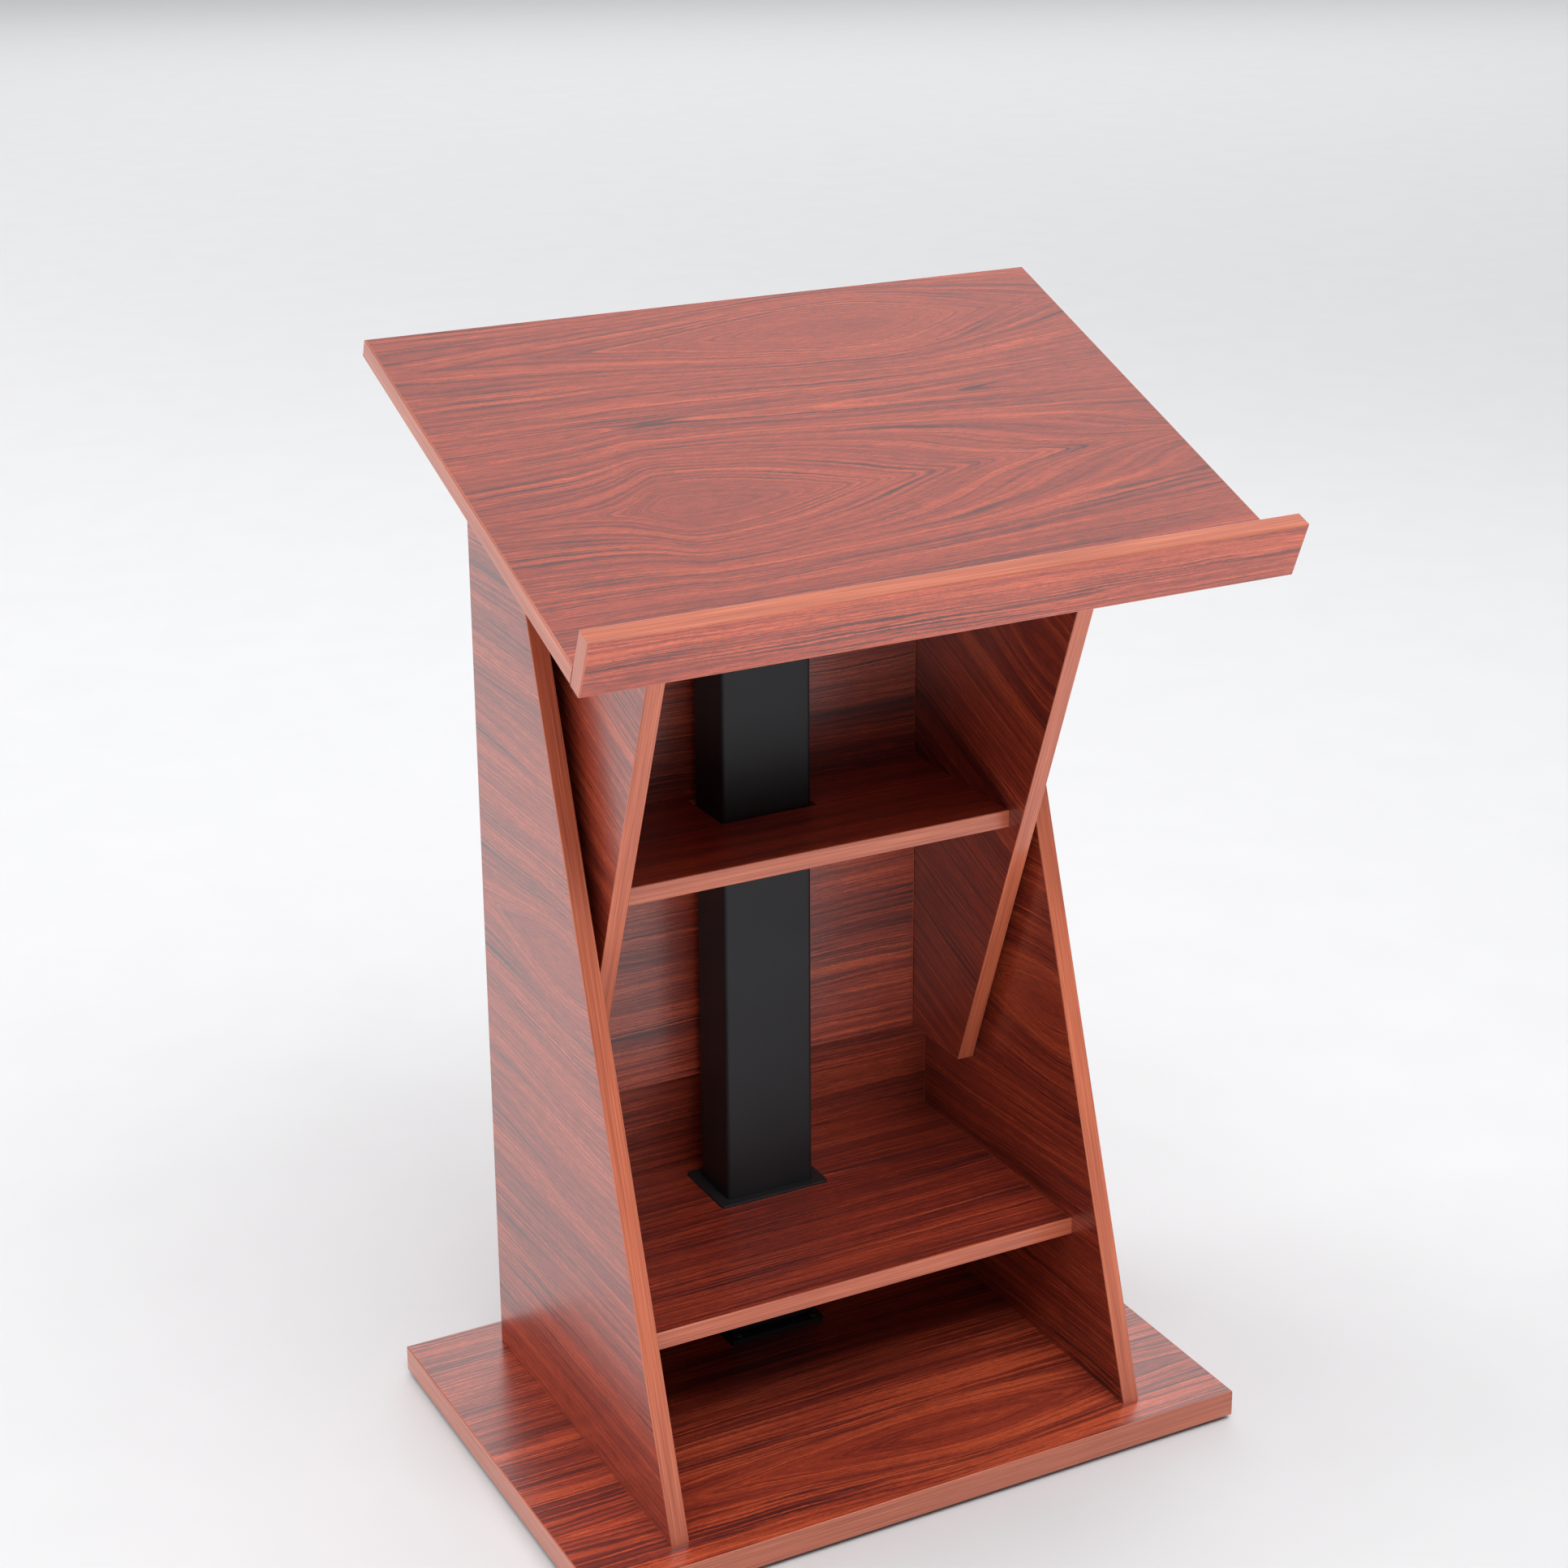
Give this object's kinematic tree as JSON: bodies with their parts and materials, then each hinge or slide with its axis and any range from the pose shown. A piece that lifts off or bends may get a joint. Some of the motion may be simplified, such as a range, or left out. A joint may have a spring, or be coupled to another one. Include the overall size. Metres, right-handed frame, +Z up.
{
  "type": "presentation lectern",
  "caption": "Height-adjustable lectern: inclined desk with a paper ledge on crossed side panels, two open shelves, a rectangular lifting column and a wide base board.",
  "frame": {"origin": "on the floor, under the centre of the lectern's bounding box", "axes": "+X to the speaker's right, +Y away from the speaker, towards the audience side, +Z up"},
  "size_m": [0.576, 0.4258, 0.8987],
  "materials": {
    "mahogany_laminate": "satin mahogany-look laminate with lighter edge banding",
    "black_powder_coat": "satin black powder coat",
    "black_plastic": "fine-textured black plastic",
    "grey_plastic": "smooth grey plastic",
    "nylon": "natural acetal",
    "zinc_steel": "bright zinc plate",
    "cable_jacket": "matt black cable jacket"
  },
  "bodies": {
    "stand": {"base_board": "mahogany_laminate", "base_screw_1": "zinc_steel", "base_screw_2": "zinc_steel", "base_screw_3": "zinc_steel", "base_screw_4": "zinc_steel", "column_collar": "black_powder_coat", "column_foot_plate": "black_powder_coat", "column_outer_tube": "black_powder_coat", "foot_screw_1": "black_powder_coat", "foot_screw_2": "black_powder_coat", "foot_screw_3": "black_powder_coat", "foot_screw_4": "black_powder_coat", "glide_back_left": "black_plastic", "glide_back_right": "black_plastic", "glide_front_left": "black_plastic", "glide_front_right": "black_plastic", "lower_shelf": "mahogany_laminate", "lower_shelf_cam_left_back": "zinc_steel", "lower_shelf_cam_left_front": "zinc_steel", "lower_shelf_cam_right_back": "zinc_steel", "lower_shelf_cam_right_front": "zinc_steel", "nut_tube": "zinc_steel", "outer_back_panel": "mahogany_laminate", "outer_panel_left": "mahogany_laminate", "outer_panel_right": "mahogany_laminate", "spindle_nut": "nylon", "upper_glide_bushing": "black_plastic"},
    "carriage": {"desk_top": "mahogany_laminate", "paper_ledge": "mahogany_laminate", "inner_panel_left": "mahogany_laminate", "inner_panel_right": "mahogany_laminate", "inner_back_panel": "mahogany_laminate", "upper_shelf": "mahogany_laminate", "support_board": "mahogany_laminate", "column_inner_tube": "black_powder_coat", "lower_glide_bushing": "black_plastic", "column_head_plate": "black_powder_coat", "gearbox_housing": "black_plastic", "drive_motor": "black_powder_coat", "control_box": "black_plastic", "power_inlet": "black_plastic", "handset_case": "black_plastic", "motor_cable": "cable_jacket", "handset_cable": "cable_jacket", "desk_bracket_left_back": "zinc_steel", "desk_bracket_left_front": "zinc_steel", "desk_bracket_right_back": "zinc_steel", "desk_bracket_right_front": "zinc_steel", "head_screw_1": "zinc_steel", "head_screw_2": "zinc_steel", "head_screw_3": "zinc_steel", "head_screw_4": "zinc_steel", "upper_shelf_cam_left_back": "zinc_steel", "upper_shelf_cam_left_front": "zinc_steel", "upper_shelf_cam_right_back": "zinc_steel", "upper_shelf_cam_right_front": "zinc_steel"},
    "spindle": {"lead_screw": "zinc_steel"},
    "up_key": {"up_button": "grey_plastic"},
    "down_key": {"down_button": "grey_plastic"}
  },
  "joints": [
    {"name": "lift", "type": "slide", "parent": "stand", "child": "carriage", "axis": [0, 0, 1], "range_m": [0, 0.4]},
    {"name": "spindle_turn", "type": "hinge", "parent": "carriage", "child": "spindle", "pos_m": [0, 0.1184, 0.735], "axis": [0, 0, 1], "continuous": true},
    {"name": "up_press", "type": "slide", "parent": "carriage", "child": "up_key", "axis": [0, 0.9272, 0.3746], "range_m": [0, 0.0015], "stiffness_N_per_m": 600},
    {"name": "down_press", "type": "slide", "parent": "carriage", "child": "down_key", "axis": [0, 0.9272, 0.3746], "range_m": [0, 0.0015], "stiffness_N_per_m": 600}
  ],
  "couplings": [
    {"joint": "spindle_turn", "follows": "lift", "rad_per_m": 785.4}
  ]
}
